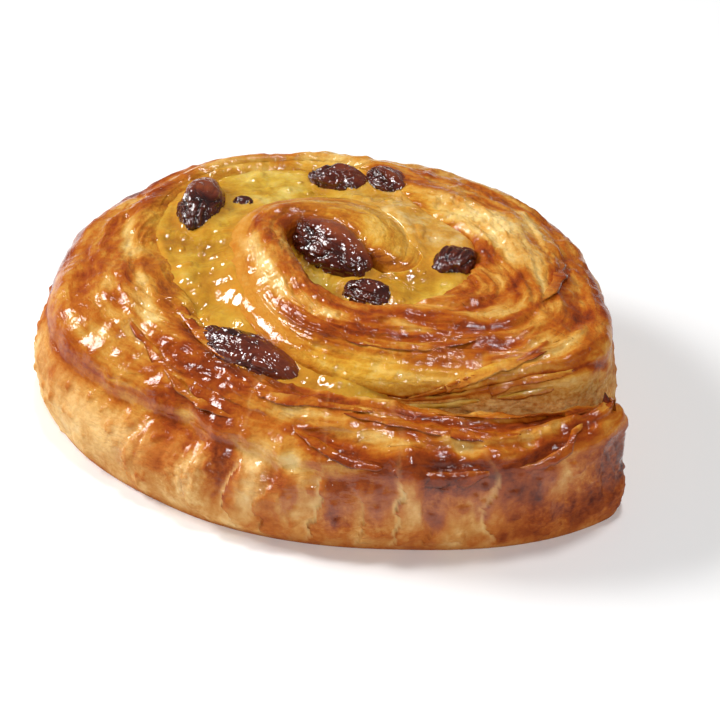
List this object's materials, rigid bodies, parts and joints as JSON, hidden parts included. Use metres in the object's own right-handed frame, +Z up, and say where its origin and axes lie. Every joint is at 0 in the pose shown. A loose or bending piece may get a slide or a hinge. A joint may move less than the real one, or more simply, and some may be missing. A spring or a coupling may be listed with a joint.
{
  "type": "danish pastry",
  "caption": "Flat spiral of laminated dough, baked and glazed, with custard running between its turns and soaked raisins set into the custard.",
  "frame": {"origin": "middle of the outline, on the flat underside", "axes": "+Z up; -Y is the front; the loose tail of the dough strip ends at the front right (+X, -Y) and the strip winds inwards clockwise from above"},
  "size_m": [0.0932, 0.0843, 0.0274],
  "materials": {
    "crust": "baked laminated dough, golden to red-brown, glazed on top and duller on the wall",
    "custard": "baked vanilla custard, yellow, glossy and slightly blistered",
    "raisin": "soaked raisin, dark red-brown, wrinkled and glazed"
  },
  "bodies": {
    "root": {"dough_strip": "crust", "custard": "custard", "raisin_front": "raisin", "raisin_left": "raisin", "raisin_left_small": "raisin", "raisin_rear": "raisin", "raisin_rear_right": "raisin", "raisin_middle": "raisin", "raisin_middle_small": "raisin", "raisin_right": "raisin"}
  },
  "joints": []
}
